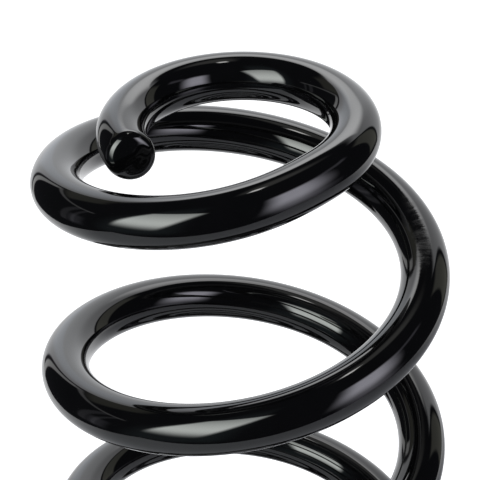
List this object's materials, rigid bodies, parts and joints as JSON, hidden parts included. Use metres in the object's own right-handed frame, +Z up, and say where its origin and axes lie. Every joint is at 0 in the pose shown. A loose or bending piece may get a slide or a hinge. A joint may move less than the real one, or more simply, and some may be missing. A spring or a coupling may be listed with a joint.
{
  "type": "helical coil spring",
  "caption": "Barrel-shaped suspension coil spring of round steel bar, wound right-handed, with a level pigtail at each end that sits in a spring seat; gloss black paint.",
  "frame": {"origin": "on the coil's axis, at the foot of the lower pigtail", "axes": "+Z up along the coil's axis, towards the upper pigtail; -Y is the side that the picture shows"},
  "size_m": [0.1122, 0.1123, 0.2807],
  "materials": {
    "black_paint": "high-gloss black paint on spring steel"
  },
  "bodies": {
    "root": {"coil_spring": "black_paint"}
  },
  "joints": []
}
